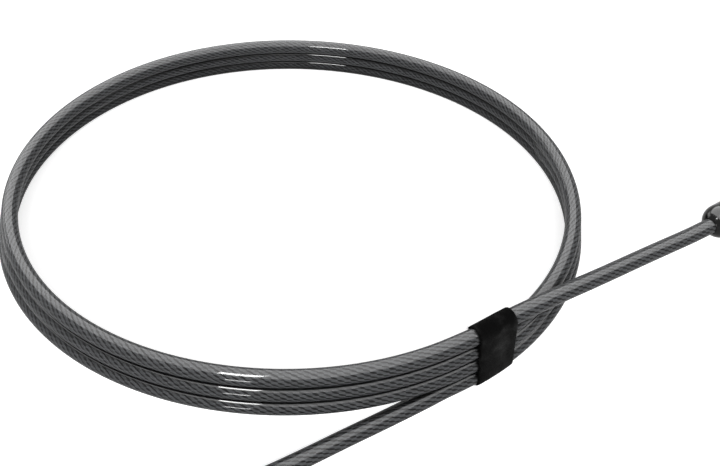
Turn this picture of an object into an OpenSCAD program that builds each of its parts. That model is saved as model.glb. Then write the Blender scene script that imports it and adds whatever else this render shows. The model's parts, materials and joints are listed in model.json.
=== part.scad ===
// Cable lock for a laptop computer: a keyed lock head with a turning T-bar,
// hinged and swivelled on a coated steel cable that lies coiled in a strap.
// The head lies on its side: the key end faces -Y, the T-bar +Y, the cable -X.

/* [Cable] */
// Outer diameter of the coated cable
cable_d = 4.5; // [4.2:0.1:4.5]
// Diameter of the bare steel strand inside it
core_d = 3.2; // [2.4:0.1:3.4]

/* [Coil] */
// Mean radius of the coil's middle turn
coil_radius = 79; // [76:0.5:82]
// Rise of the cable from one turn to the next
coil_pitch = 4.6; // [4.6:0.1:5]
// How much smaller in radius each turn is than the one under it
coil_taper = 1.3; // [1:0.1:1.5]
// How far each turn lies towards -Y of the one under it
coil_drift = 0.8; // [0.6:0.1:0.9]
// How oval the turns are, as a share of the radius
coil_oval = 0.048; // [0.03:0.002:0.06]
// Direction of the long axis of the oval
coil_oval_angle = -46; // [-50:1:-42]

/* [Strap] */
// Width of the hook-and-loop strap along the cable
strap_w = 11; // [9:0.5:14]
// Thickness of the strap
strap_t = 0.9; // [0.7:0.1:1.1]
// Length of the hook patch at the strap's end
strap_patch = 8; // [6:0.5:9]

/* [End loop] */
// Length of the crimped sleeve that closes the end loop
ferrule_len = 14; // [11:0.5:15]
// Wall of the sleeve
ferrule_wall = 1.3; // [1:0.1:1.5]
// Depth of the press marks in the sleeve and in the steel fitting
crimp_depth = 0.4; // [0.2:0.1:0.6]
// Width of a press mark
crimp_w = 1.6; // [1.2:0.1:2]

/* [Cable end] */
// Radius of the domed boot on the cable's end
boot_r = 4.9; // [4.5:0.1:5.2]
// Length of the boot from the hinge pin to the centre of its dome
boot_len = 11.6; // [11.2:0.1:14]
// Radius of the steel fitting's shank and eye
eye_r = 3; // [2.8:0.1:3.2]
// Thickness of the eye along the hinge pin
eye_t = 4.2; // [3.6:0.1:4.6]
// Length of the fitting from the hinge pin to the end of its shank
shank_len = 11; // [9.5:0.1:11.1]
// Radius of the hinge pin
pin_r = 1; // [0.8:0.05:1.2]

/* [Collar] */
// Width of the swivel collar
collar_w = 8; // [7:0.5:10]
// How far the collar lies under the body's surface
collar_drop = 0.4; // [0.2:0.1:0.8]
// Wall of the swivel collar
collar_wall = 2.15; // [1.6:0.05:2.4]
// Gap between the collar and the eye of the cable's fitting
pivot_gap = 0.9; // [0.6:0.1:1.6]
// Thickness of each of the two ears
ear_t = 2.2; // [1.6:0.1:2.6]
// Thickness of the slip washers beside the collar
washer_t = 0.6; // [0.4:0.1:1]
// Width of the washers' ring
washer_w = 1.9; // [1.2:0.1:2]

/* [Lock body] */
// Radius of the body and of the nose plate
body_r = 11; // [11:0.1:12]
// Number of grip flutes round the drum
flute_count = 30; // [16:1:36]
// Radius of a grip flute
flute_r = 0.6; // [0.3:0.1:0.8]
// Radius of the bright ring round the key face
ring_r = 9.5; // [8.2:0.1:9.8]
// Thickness of that ring
ring_t = 1.7; // [1.4:0.1:2]
// How far the ring stands out of the drum
ring_proud = 0.6; // [0.3:0.1:0.9]

/* [Plug] */
// Radius of the turning plug
plug_r = 6; // [5.9:0.1:6.2]
// Wall of the plug round the chamber that holds the discs
plug_wall = 1.3; // [1.2:0.05:1.5]
// Height of the shoulder that keeps the plug in
shoulder_h = 1; // [0.8:0.1:1.2]
// Thickness of that shoulder
shoulder_t = 1; // [0.8:0.1:1.4]
// Number of detainer discs, with a spacer between each pair
disc_count = 5; // [3:1:5]
// Thickness of a detainer disc
disc_t = 1.2; // [1:0.05:1.2]
// Thickness of a spacer
spacer_t = 0.4; // [0.3:0.05:0.4]
// Thickness of the hardened guard disc at the front
guard_t = 1.6; // [1.2:0.1:1.6]
// Width of the keyway
keyway_w = 1.8; // [1.4:0.1:2.2]
// Height of the keyway
keyway_h = 6.2; // [5:0.1:6.6]
// Depth of the notches in the discs that the sidebar drops into
notch_depth = 0.65; // [0.5:0.05:0.8]
// Width of the sidebar
sidebar_w = 1.5; // [1.1:0.1:1.8]
// How far the sidebar moves out to lock the plug
sidebar_travel = 0.9; // [0.7:0.05:1]
// Radius of the stop pin
stop_r = 1; // [0.8:0.1:1.2]
// Width of the square tang that the plug turns
tang_w = 3; // [2.6:0.1:3.2]
// Height of that tang
tang_len = 3.1; // [2.6:0.1:3.6]

/* [Nose and T-bar] */
// Radius of the T-bar's shaft in the neck
shaft_r = 2; // [1.7:0.1:2.3]
// Radius of the flange that keeps the T-bar in
flange_r = 3.1; // [2.7:0.1:3.3]
// Thickness of that flange
flange_t = 1.2; // [0.9:0.1:1.5]
// Radius of the nose plate's screws
screw_r = 1; // [0.8:0.05:1.1]
// Thickness of the nose plate
nose_t = 4; // [3.5:0.1:5]
// Radius of the boss on the nose plate
boss_r = 8; // [7.8:0.1:9]
// Height of that boss
boss_h = 2; // [1.6:0.1:3]
// Radius of the T-bar's shaft where it passes through the slot
tip_r = 1.35; // [1.15:0.05:1.35]
// Length of the T-bar's head
tee_len = 6.6; // [6:0.1:6.8]
// Width of the T-bar's head and of the guide prongs
tee_w = 2.8; // [2.4:0.1:2.9]
// Thickness of the T-bar's head
tee_t = 1.6; // [1.3:0.1:2]
// Thickness of the slotted wall that the T-bar grips
slot_wall = 2.4; // [1.8:0.1:3]
// Thickness of the rubber pad on the nose
pad_t = 0.8; // [0.6:0.1:1.2]

/* [Hidden] */
$fn = 48;

// clearances
run_gap = 0.05;    // shaft in its hole, or two faces that turn on each other
free_gap = 0.3;    // curved faces that only pass each other
seat_gap = 0.02;   // pressed or staked pieces
end_gap = 0.1;     // end play
past = 1;          // how far a cut runs past a face

// the lock's own axis: z runs from the key face to the T-bar, z = 0 at the hinge pin
collar_r = body_r - collar_drop;
neck_r = collar_r - collar_wall - run_gap;
pivot_offset = collar_r + pivot_gap + eye_r;
neck_end = collar_w / 2 + washer_t + 2 * run_gap;

// from the neck to the key face: web, tang, stop pin, disc chamber, guard disc, ring
web_t = 1.2;
stop_cover = 0.7;    // steel of the drum's end beside the stop pin
stop_wall = 0.9;     // plug left between the stop groove and the disc chamber
stop_depth = 1;      // how far the pin reaches into the plug
stop_sink = 0.5;     // how far the pin's outer end lies under the drum's surface
stop_play = 15;      // angle of the groove past each end of the plug's turn
slot_play = 0.2;     // play of the sidebar in the drum's slots, on each side
slot_over = 0.5;     // how far those slots run into the plug's bore
sidebar_wall = 0.6;  // from the sidebar's end to the end of the disc chamber
flute_margin = 2.3;  // plain ends of the drum past the flutes
ring_edge = 0.5;     // rounding of the bright ring
chamber_r = plug_r - plug_wall;
shoulder_r = plug_r + shoulder_h;
web_back = web_t - neck_end;
plug_end = web_back - 2 * end_gap;
stop_z = -neck_end - stop_cover - stop_r;
stop_in = plug_r - stop_depth;
tang_front = plug_end + end_gap - tang_len;
chamber_end = stop_z - stop_r - stop_wall;
disc_step = disc_t + spacer_t + 2 * run_gap;
discs_front = chamber_end + spacer_t - disc_count * disc_step;
plug_front = discs_front - guard_t - 2 * end_gap;
ring_back = plug_front - free_gap;
drum_back = ring_back + ring_proud;
ring_seat = ring_back + ring_t;
shoulder_seat = ring_seat + shoulder_t + 2 * end_gap;
disc_r = chamber_r - run_gap;
sidebar_in = disc_r - notch_depth;
sidebar_front = shoulder_seat + 2 * end_gap;
sidebar_end = chamber_end - sidebar_wall;

// from the neck to the T-bar's head: nose plate, boss, pad, gripped wall
boss_face = neck_end + nose_t + boss_h;
pad_face = boss_face + pad_t;
tee_back = pad_face + slot_wall;
prong_end = tee_back - free_gap;
tip_len = tee_back + tee_t;
pad_in = tee_len / 2 + 0.5;
rear_len = -ring_back;
screw_head_r = 1.8 * screw_r;
screw_head_t = 1.1 * screw_r;
screw_at = (flange_r + free_gap + boss_r) / 2 - 0.4;
screw_depth = neck_end + 0.8;

// where the head lies: its box stands centred on the origin
cord_bore = cable_d / 2 + run_gap;
boot_reach = boot_len + sqrt(boot_r * boot_r - cord_bore * cord_bore);
shank_start = 1.2;   // from the eye's rim to the round shank
core_start = 2;      // from the eye's rim to the end of the bare strand
boot_edge = 0.7;     // rounding of the boot's rim
boot_back = eye_r + shank_start;
core_seat = eye_r + core_start;
head_x = (pivot_offset + boot_reach - body_r) / 2;
pin_x = head_x - pivot_offset;
pin_y = (rear_len - tip_len) / 2;
axis_h = body_r;

// the coil: three turns that climb one pitch each, nearly all of it on the left half
coil_at = [-112, 80];
coil_turns = 3;
coil_start = -88;
coil_sweep = coil_turns * 360;
coil_settle = 1.35;
turn_rings = 24;
coil_sides = 6;
strap_mid = -100;
strap_gap = 0.1;
cord_z = cable_d / 2;
strap_lift = strap_t + strap_gap;
function coil_r(t) = (coil_radius - coil_taper * (t / 360 - coil_turns / 2))
    * (1 + coil_oval * cos(2 * (coil_start + t - coil_oval_angle)));
function coil_z(t) = cord_z + coil_pitch * t / 360
    + coil_pitch * coil_settle * (cos(t) - 1) / (2 * PI)
    + strap_lift * pow((1 + cos(t)) / 2, 4);
function coil_pt(t) = [
    coil_at[0] + coil_r(t) * cos(coil_start + t),
    coil_at[1] - coil_drift * (t / 360 - coil_turns / 2) + coil_r(t) * sin(coil_start + t),
    coil_z(t)];
function unit(v) = v / norm(v);
coil_in = unit(coil_pt(0.5) - coil_pt(-0.5));
coil_out = unit(coil_pt(coil_sweep + 0.5) - coil_pt(coil_sweep - 0.5));
coil_first = coil_pt(0) - cable_d * coil_in;
coil_last = coil_pt(coil_sweep) + cable_d * coil_out;
coil_rings = coil_turns * turn_rings;
coil_path = concat([coil_first],
    [for (i = [0 : coil_rings]) coil_pt(i * coil_sweep / coil_rings)], [coil_last]);

// the lead, from the cable's end in the boot to the coil's top turn
lead_from = [pin_x - shank_len, pin_y, axis_h];
lead_mid = [[-21, 1.5, 11], [-28, 1.6, 11.1], [-38, 1.8, 11.7], [-48, 1.8, 12.6], [-58, 1.6, 13.7],
    [-68, 1.4, 14.9], [-77, 1.3, 16], [-86, 1.2, 16.8], [-95, 1.3, 17.1]];
lead_path = concat([lead_from], lead_mid, [coil_last]);

// the tail, from the coil's lowest turn through the end loop and back into the sleeve
ferrule_x = -174;
strand_y = [3.2, -1.5];
stub_out = 1.5;      // how far the cable's cut end stands out of the sleeve
ferrule_z = cord_bore + ferrule_wall;
tail_near = [[-120, 0.5, 2.8], [-129, 1.1, 2.3], [-141, 1.7, 2.3], [-153, 2.2, 2.3], [-163, 2.7, 2.6],
    [-170, 3.1, 3.3]];
loop_out = [[-195, 4.4, 3.2], [-201, 8, 2.6], [-207, 12.4, 2.3], [-214, 16.2, 2.3],
    [-222, 17.6, 2.3], [-229.5, 14.8, 2.3], [-234.5, 8.7, 2.3]];
loop_mid_y = (strand_y[0] + strand_y[1]) / 2;
loop_end = [-236.2, loop_mid_y, 2.3];
function mirrored(points) = [for (i = [len(points) - 1 : -1 : 0])
    [points[i][0], 2 * loop_mid_y - points[i][1], points[i][2]]];
tail_path = concat([coil_first], tail_near,
    [[ferrule_x, strand_y[0], ferrule_z], [ferrule_x - ferrule_len, strand_y[0], ferrule_z]],
    loop_out, [loop_end], mirrored(loop_out),
    [[ferrule_x - ferrule_len, strand_y[1], ferrule_z], [ferrule_x + stub_out, strand_y[1], ferrule_z]]);

// one unbroken tube along a path, with a flat side down
function heading(path, i) = unit(path[min(i + 1, len(path) - 1)] - path[max(i - 1, 0)]);
function ring_at(p, dir, r, sides, turn) = let (
        side = unit(cross(dir, [0, 0, 1])),
        up = cross(side, dir))
    [for (k = [0 : sides - 1]) let (a = (k + turn) * 360 / sides)
        p + r * (cos(a) * side + sin(a) * up)];
function tube_points(path, r, sides, turn, first, last) = [
    for (i = [0 : len(path) - 1])
        each ring_at(path[i], i == 0 ? first : i == len(path) - 1 ? last : heading(path, i),
            r, sides, turn)];
function tube_faces(rings, sides) = concat(
    [for (i = [0 : rings - 2], k = [0 : sides - 1], half = [0, 1])
        let (a = i * sides + k, b = i * sides + (k + 1) % sides)
        half == 0 ? [a, b, b + sides] : [a, b + sides, a + sides]],
    [for (k = [1 : sides - 2]) [0, k + 1, k]],
    [for (k = [1 : sides - 2]) let (s = (rings - 1) * sides) [s, s + k, s + k + 1]]);
module tube(path, sides, turn, first, last) {
    polyhedron(tube_points(path, cable_d / 2, sides, turn, first, last),
        tube_faces(len(path), sides), convexity = 10);
}

// least gap from one turn of the coil to the next, between the corners and mid-sides of their rings
coil_marks = [for (i = [1 : coil_rings + 1])
    let (c = ring_at(coil_path[i], heading(coil_path, i), cable_d / 2, coil_sides, 0))
    [for (k = [0 : coil_sides - 1]) each [c[k], (c[k] + c[(k + 1) % coil_sides]) / 2]]];
least_gap = min([for (i = [0 : coil_rings - turn_rings], j = [-1 : 1])
    for (p = coil_marks[i], q = coil_marks[min(i + turn_rings + j, coil_rings)]) norm(p - q)]);
echo("least gap between the coil's turns, mm", least_gap);
echo("hinge pin and lock axis, mm", pin_x, pin_y, head_x, axis_h);

// frames for the pieces of the head
module on_lock_axis() {
    translate([head_x, pin_y, axis_h]) rotate([-90, 0, 0]) children();
}
module on_cable_end() {
    translate([pin_x, pin_y, axis_h]) rotate([0, -90, 0]) children();
}
module rod(r, from, to) {
    translate([0, 0, from]) cylinder(r = r, h = to - from);
}
module bar(size_x, size_y, from, to) {
    translate([-size_x / 2, -size_y / 2, from]) cube([size_x, size_y, to - from]);
}
module washer(r_in, r_out, from, to) {
    difference() {
        rod(r_out, from, to);
        rod(r_in, from - past, to + past);
    }
}
// a turned piece with both outer edges rounded
function quarter(r, z, edge, from) = [for (i = [0 : 5]) let (a = from + i * 18)
    [r + edge * cos(a), z + edge * sin(a)]];
module turned(r, from, to, edge_from, edge_to) {
    rotate_extrude() polygon(concat([[0, from]],
        quarter(r - edge_from, from + edge_from, edge_from, -90),
        quarter(r - edge_to, to - edge_to, edge_to, 0), [[0, to]]));
}

/* ---- lock body ---- */
module lock_body() {
    color([0.07, 0.07, 0.08]) on_lock_axis() difference() {
        union() {
            turned(body_r, drum_back, -neck_end, 1.2, 0.6);
            rod(neck_r, -neck_end - past, neck_end);
        }
        for (i = [0 : flute_count - 1]) rotate(i * 360 / flute_count)
            translate([body_r + flute_r / 4, 0, 0])
                rod(flute_r, drum_back + flute_margin, -neck_end - flute_margin);
        rod(ring_r + run_gap, drum_back - past, ring_seat);
        rod(shoulder_r + free_gap, ring_seat - past, shoulder_seat);
        rod(plug_r + run_gap, shoulder_seat - past, web_back);
        rod(shaft_r + run_gap, web_back - past, neck_end + past);
        rod(flange_r + free_gap, neck_end - flange_t - 3 * end_gap, neck_end + past);
        for (a = [0, 90]) rotate(a)
            sidebar_slot(plug_r - slot_over, plug_r + sidebar_travel, sidebar_w + 2 * slot_play);
        translate([0, 0, stop_z]) rotate([-90, 0, 0])
            rod(stop_r + seat_gap, plug_r - past, body_r + past);
        for (s = [-1, 1]) translate([0, s * screw_at, 0])
            rod(screw_r + seat_gap, neck_end - screw_depth - 2 * end_gap, neck_end + past);
    }
}
module face_ring() {
    inner = plug_r + free_gap;
    color([0.75, 0.76, 0.78]) on_lock_axis() rotate_extrude() polygon(concat(
        [[inner, ring_seat], [inner, ring_back + ring_edge], [inner + ring_edge, ring_back]],
        quarter(ring_r - ring_edge, ring_back + ring_edge, ring_edge, -90), [[ring_r, ring_seat]]));
}
module stop_pin() {
    color([0.6, 0.6, 0.62]) on_lock_axis() translate([0, 0, stop_z]) rotate([-90, 0, 0])
        rod(stop_r, stop_in, body_r - stop_sink);
}
module nose_plate() {
    color([0.07, 0.07, 0.08]) on_lock_axis() {
        difference() {
            union() {
                turned(body_r, neck_end, neck_end + nose_t, 0.6, 1.2);
                turned(boss_r, neck_end + nose_t / 4, boss_face, 0.1, 0.4);
            }
            rod(tip_r + run_gap, neck_end - past, boss_face + past);
            for (s = [-1, 1]) translate([0, s * screw_at, 0]) {
                rod(screw_r + seat_gap, neck_end - past, boss_face + past);
                rod(screw_head_r + seat_gap, boss_face - screw_head_t, boss_face + past);
            }
        }
        for (s = [0, 180]) rotate(s) intersection() {
            translate([tip_r + free_gap, -tee_w / 2, boss_face - boss_h / 4])
                cube([tee_len, tee_w, prong_end - boss_face + boss_h / 4]);
            rod(tee_len / 2, boss_face - past, prong_end);
        }
    }
}
module nose_screws() {
    color([0.6, 0.6, 0.62]) on_lock_axis() for (s = [-1, 1]) translate([0, s * screw_at, 0])
        difference() {
            union() {
                rod(screw_r, neck_end - screw_depth, boss_face - screw_head_t / 2);
                rod(screw_head_r, boss_face - screw_head_t, boss_face - end_gap);
            }
            translate([0, 0, boss_face - 0.7 * screw_head_t])
                cylinder(r = 0.7 * screw_r, h = screw_head_t, $fn = 6);
        }
}
module nose_pad() {
    color([0.12, 0.12, 0.12]) on_lock_axis()
        washer(pad_in, boss_r - 4 * end_gap, boss_face, pad_face);
}
module slip_washer(from) {
    color([0.85, 0.84, 0.8]) on_lock_axis()
        washer(neck_r + end_gap, neck_r + end_gap + washer_w, from, from + washer_t);
}
module washer_rear() { slip_washer(-collar_w / 2 - run_gap - washer_t); }
module washer_front() { slip_washer(collar_w / 2 + run_gap); }

/* ---- plug and T-bar, which turn together ---- */
module sidebar_slot(r_in, r_out, width) {
    translate([0, -(r_in + r_out) / 2, 0]) bar(width, r_out - r_in,
        sidebar_front - end_gap, sidebar_end + end_gap);
}
module lock_plug() {
    color([0.72, 0.6, 0.35]) on_lock_axis() difference() {
        union() {
            rod(plug_r, plug_front, plug_end);
            rod(shoulder_r, ring_seat + end_gap, shoulder_seat - end_gap);
        }
        rod(chamber_r, plug_front - past, chamber_end);
        sidebar_slot(sidebar_in, plug_r + past, sidebar_w + 2 * run_gap);
        bar(tang_w + 2 * run_gap, tang_w + 2 * run_gap, tang_front - end_gap, plug_end + past);
        intersection() {
            washer(stop_in - end_gap, plug_r + past,
                stop_z - stop_r - end_gap, stop_z + stop_r + end_gap);
            translate([0, 0, stop_z - 2 * stop_r]) linear_extrude(4 * stop_r) polygon(concat([[0, 0]],
                [for (a = [-stop_play : 15 : 90 + stop_play]) 2 * plug_r * [cos(a), sin(a)]]));
        }
    }
}
module keyed_disc(from, thick, notch) {
    on_lock_axis() difference() {
        rod(disc_r, from, from + thick);
        bar(keyway_w, keyway_h, from - past, from + thick + past);
        if (notch) translate([0, -disc_r, 0])
            bar(sidebar_w + 2 * end_gap, 2 * (notch_depth + end_gap), from - past, from + thick + past);
    }
}
module guard_disc() { color([0.7, 0.71, 0.73]) keyed_disc(plug_front + end_gap, guard_t, false); }
module disc(i) {
    if (i < disc_count) color([0.74, 0.62, 0.36])
        keyed_disc(discs_front + i * disc_step, disc_t, true);
}
module spacer(i) {
    if (i < disc_count - 1) color([0.7, 0.71, 0.73]) on_lock_axis() difference() {
        rod(disc_r, discs_front + i * disc_step + disc_t + run_gap,
            discs_front + (i + 1) * disc_step - run_gap);
        rod(keyway_h / 2 + 2 * end_gap, plug_front, plug_end);
        sidebar_slot(sidebar_in - end_gap, plug_r, sidebar_w + 2 * end_gap);
    }
}
module sidebar() {
    color([0.7, 0.71, 0.73]) on_lock_axis() translate([0, -(sidebar_in + plug_r - end_gap) / 2, 0])
        bar(sidebar_w, plug_r - end_gap - sidebar_in, sidebar_front, sidebar_end);
}
module locking_bar() {
    color([0.7, 0.71, 0.73]) on_lock_axis() {
        bar(tang_w, tang_w, tang_front, plug_end + end_gap);
        rod(shaft_r, plug_end + end_gap, neck_end - flange_t - end_gap);
        rod(flange_r, neck_end - flange_t - 2 * end_gap, neck_end - 2 * end_gap);
        rod(tip_r, neck_end - 3 * end_gap, tee_back + tee_t / 4);
        intersection() {
            bar(tee_len, tee_w, tee_back, tip_len);
            turned(tee_len / 2, tee_back, tip_len, 0.1, 0.5);
        }
    }
}

/* ---- collar and its hinge pin ---- */
module swivel_collar() {
    color([0.2, 0.2, 0.22]) on_lock_axis() difference() {
        union() {
            turned(collar_r, -collar_w / 2, collar_w / 2, 0.6, 0.6);
            for (s = [-1, 1]) translate([0, s * (eye_t / 2 + end_gap + ear_t / 2), 0]) {
                translate([-pivot_offset, -ear_t / 2, -eye_r])
                    cube([pivot_offset - neck_r, ear_t, 2 * eye_r]);
                translate([-pivot_offset, 0, 0]) rotate([90, 0, 0]) rod(eye_r, -ear_t / 2, ear_t / 2);
            }
        }
        rod(neck_r + run_gap, -collar_w, collar_w);
        translate([-pivot_offset, 0, 0]) rotate([90, 0, 0]) rod(pin_r + seat_gap, -body_r, body_r);
    }
}
module hinge_pin() {
    color([0.75, 0.76, 0.78]) on_lock_axis() translate([-pivot_offset, 0, 0]) rotate([90, 0, 0])
        rod(pin_r, -(eye_t / 2 + end_gap + ear_t), eye_t / 2 + end_gap + ear_t);
}

/* ---- the cable's end: z runs along the cable, x along the hinge pin ---- */
module cable_eye() {
    color([0.62, 0.63, 0.65]) on_cable_end() difference() {
        union() {
            rotate([0, 90, 0]) rod(eye_r, -eye_t / 2, eye_t / 2);
            bar(eye_t, 1.6 * eye_r, 0, eye_r + shank_start);
            rod(eye_r, eye_r + shank_start / 2, shank_len);
        }
        rotate([0, 90, 0]) rod(pin_r + run_gap, -eye_t, eye_t);
        rod(core_d / 2 + seat_gap, core_seat, shank_len + past);
        washer(eye_r - crimp_depth, eye_r + past, (core_seat + shank_len - crimp_w) / 2,
            (core_seat + shank_len + crimp_w) / 2);
    }
}
module core_end() {
    color([0.6, 0.6, 0.62]) on_cable_end() rod(core_d / 2, core_seat + end_gap, shank_len);
}
module cable_boot() {
    color([0.03, 0.03, 0.03]) on_cable_end() rotate_extrude() polygon(concat(
        [[cord_bore, shank_len + run_gap], [eye_r + run_gap, shank_len + run_gap],
            [eye_r + run_gap, boot_back]],
        quarter(boot_r - boot_edge, boot_back + boot_edge, boot_edge, -90),
        [for (a = [0 : 6 : 60]) [boot_r * cos(a), boot_len + boot_r * sin(a)]],
        [[cord_bore, boot_reach]]));
}

/* ---- cable ---- */
module cable_lead() {
    color([0.25, 0.25, 0.27]) tube(lead_path, 8, 0.5, [-1, 0, 0], -coil_out);
}
module cable_coil() {
    color([0.25, 0.25, 0.27]) tube(coil_path, coil_sides, 0, coil_in, coil_out);
}
module cable_tail() {
    color([0.25, 0.25, 0.27]) tube(tail_path, 8, 0.5, -coil_in, [1, 0, 0]);
}
module loop_ferrule() {
    outer = ferrule_z;
    wide = strand_y[0] - strand_y[1];
    color([0.72, 0.73, 0.75]) translate([ferrule_x, 0, ferrule_z]) rotate([0, -90, 0]) difference() {
        union() {
            for (y = strand_y) translate([0, y, 0]) rod(outer, 0, ferrule_len);
            translate([-outer, strand_y[1], 0]) cube([2 * outer, wide, ferrule_len]);
        }
        for (y = strand_y) translate([0, y, 0]) rod(cord_bore, -past, ferrule_len + past);
        for (i = [1 : 3], s = [-1, 1])
            translate([s * outer - crimp_depth, strand_y[1] - outer, i * ferrule_len / 4 - crimp_w / 2])
                cube([2 * crimp_depth, wide + 2 * outer, crimp_w]);
    }
}

/* ---- strap ---- */
// where the strands pass through the strap, at both of its edges, as y and z
strap_from = strap_mid - strap_w / 2;
function along(a, b, x) = let (p = a + (b - a) * (x - a[0]) / (b[0] - a[0])) [p[1], p[2]];
function strands_at(x) = concat(
    [for (n = [0 : coil_turns - 1]) along(coil_path[n * turn_rings + 1], coil_path[n * turn_rings + 2], x)],
    [along(coil_last, lead_mid[len(lead_mid) - 1], x)]);
strap_core = concat(strands_at(strap_from), strands_at(strap_from + strap_w));
module strap_outline(r) {
    hull() for (p = strap_core) translate(p) circle(r = r, $fn = 32);
}
module along_strap() {
    translate([strap_from, 0, 0]) rotate([90, 0, 90]) linear_extrude(strap_w) children();
}
module strap_band() {
    color([0.05, 0.05, 0.05]) along_strap() difference() {
        strap_outline(cord_z + strap_lift);
        strap_outline(cord_z + strap_gap);
    }
}
module strap_hook() {
    inner = strands_at(strap_from + strap_w);
    lean = unit(inner[coil_turns - 1] - inner[0]);
    out = [lean[1], -lean[0]];
    mid = (inner[coil_turns - 1] + inner[0]) / 2 + (cord_z + strap_lift + run_gap) * out;
    color([0.08, 0.08, 0.08]) along_strap() polygon([mid - strap_patch / 2 * lean,
        mid - strap_patch / 2 * lean + strap_t * out, mid + strap_patch / 2 * lean + strap_t * out,
        mid + strap_patch / 2 * lean]);
}

lock_body();
face_ring();
stop_pin();
nose_plate();
nose_screws();
nose_pad();
washer_rear();
washer_front();
lock_plug();
guard_disc();
disc(0);  // disc_1
disc(1);  // disc_2
disc(2);  // disc_3
disc(3);  // disc_4
disc(4);  // disc_5
spacer(0);  // spacer_1
spacer(1);  // spacer_2
spacer(2);  // spacer_3
spacer(3);  // spacer_4
sidebar();
locking_bar();
swivel_collar();
hinge_pin();
cable_eye();
core_end();
cable_boot();
cable_lead();
cable_coil();
cable_tail();
loop_ferrule();
strap_band();
strap_hook();
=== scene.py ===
import json
import math
import random
from itertools import accumulate

import bpy
from mathutils import Matrix, Vector


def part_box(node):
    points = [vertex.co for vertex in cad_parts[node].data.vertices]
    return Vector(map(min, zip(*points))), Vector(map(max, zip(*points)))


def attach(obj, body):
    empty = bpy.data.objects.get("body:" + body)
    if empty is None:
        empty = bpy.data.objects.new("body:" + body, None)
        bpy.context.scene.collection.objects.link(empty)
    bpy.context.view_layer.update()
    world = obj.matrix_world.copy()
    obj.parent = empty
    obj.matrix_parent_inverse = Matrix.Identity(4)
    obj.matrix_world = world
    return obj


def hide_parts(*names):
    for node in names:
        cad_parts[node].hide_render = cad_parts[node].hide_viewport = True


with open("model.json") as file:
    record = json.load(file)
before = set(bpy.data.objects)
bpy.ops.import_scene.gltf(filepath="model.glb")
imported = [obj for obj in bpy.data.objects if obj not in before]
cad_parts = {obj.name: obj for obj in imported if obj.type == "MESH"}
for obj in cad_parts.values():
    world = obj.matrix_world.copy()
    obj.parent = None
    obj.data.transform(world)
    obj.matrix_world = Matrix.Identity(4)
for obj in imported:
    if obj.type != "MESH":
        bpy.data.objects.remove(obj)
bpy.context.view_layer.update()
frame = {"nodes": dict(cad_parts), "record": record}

scene = bpy.context.scene
scene.view_settings.view_transform = "Standard"
mm = 0.001
print("frame loaded with", len(frame["nodes"]), "nodes")


# small helpers for modelling

def deselectAll():
    for thing in bpy.context.selected_objects:
        thing.select_set(False)


def makeActive(thing):
    deselectAll()
    thing.select_set(True)
    bpy.context.view_layer.objects.active = thing


def applyModifiers(thing):
    makeActive(thing)
    for modifier in list(thing.modifiers):
        bpy.ops.object.modifier_apply(modifier=modifier.name)


def joinPieces(things, name):
    deselectAll()
    for thing in things:
        thing.select_set(True)
    bpy.context.view_layer.objects.active = things[0]
    bpy.ops.object.join()
    things[0].name = name
    things[0].data.name = name
    return things[0]


def newMesh(name, points, faces):
    mesh = bpy.data.meshes.new(name)
    mesh.from_pydata([tuple(p) for p in points], [], faces)
    mesh.validate()
    thing = bpy.data.objects.new(name, mesh)
    scene.collection.objects.link(thing)
    return thing


def smoothByAngle(thing, degrees):
    makeActive(thing)
    bpy.ops.object.shade_smooth_by_angle(angle=math.radians(degrees))


def dress(thing, material):
    thing.data.materials.clear()
    thing.data.materials.append(material)


# small helpers for materials

def newMaterial(name):
    material = bpy.data.materials.new(name)
    material.use_nodes = True
    tree = material.node_tree
    return material, tree, tree.nodes["Principled BSDF"]


def node(tree, kind, **settings):
    made = tree.nodes.new("ShaderNode" + kind)
    for key, value in settings.items():
        setattr(made, key, value)
    return made


def onObject(tree):              # a point's place in the object's own coordinates
    return node(tree, "TexCoord").outputs["Object"]


def feed(tree, socket, value):
    if isinstance(value, bpy.types.NodeSocket):
        tree.links.new(value, socket)
    else:
        socket.default_value = value


def calc(tree, operation, a, b=0.0, clamp=False):
    made = node(tree, "Math", operation=operation, use_clamp=clamp)
    feed(tree, made.inputs[0], a)
    feed(tree, made.inputs[1], b)
    return made.outputs[0]


def remap(tree, value, fromLow, fromHigh, toLow, toHigh):
    made = node(tree, "MapRange", interpolation_type="SMOOTHSTEP")
    for socket, given in zip(made.inputs, (value, fromLow, fromHigh, toLow, toHigh)):
        feed(tree, socket, given)
    return made.outputs["Result"]


def mixColour(tree, factor, a, b, blend="MIX"):
    made = node(tree, "Mix", data_type="RGBA", blend_type=blend)
    feed(tree, made.inputs["Factor"], factor)
    feed(tree, made.inputs[6], a)
    feed(tree, made.inputs[7], b)
    return made.outputs[2]


def noise(tree, vector, scale, detail=3.0, rough=0.55):
    made = node(tree, "TexNoise")
    tree.links.new(vector, made.inputs["Vector"])
    made.inputs["Scale"].default_value = scale
    made.inputs["Detail"].default_value = detail
    made.inputs["Roughness"].default_value = rough
    return made.outputs["Fac"]


def bump(tree, height, distance, strength=1.0, normal=None):
    made = node(tree, "Bump")
    made.inputs["Strength"].default_value = strength
    made.inputs["Distance"].default_value = distance
    tree.links.new(height, made.inputs["Height"])
    if normal is not None:
        tree.links.new(normal, made.inputs["Normal"])
    return made.outputs["Normal"]


def stretchedNoise(tree, vector, scale, stretch, detail=3.0, rough=0.55):
    squeeze = node(tree, "Mapping")
    tree.links.new(vector, squeeze.inputs["Vector"])
    squeeze.inputs["Scale"].default_value = stretch
    return noise(tree, squeeze.outputs[0], scale, detail, rough)


noiseSpan = (0.3, 0.7)           # nearly all of a noise lies between these


def roughen(tree, shader, pattern, limits):
    tree.links.new(remap(tree, pattern, *noiseSpan, *limits), shader.inputs["Roughness"])


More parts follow.
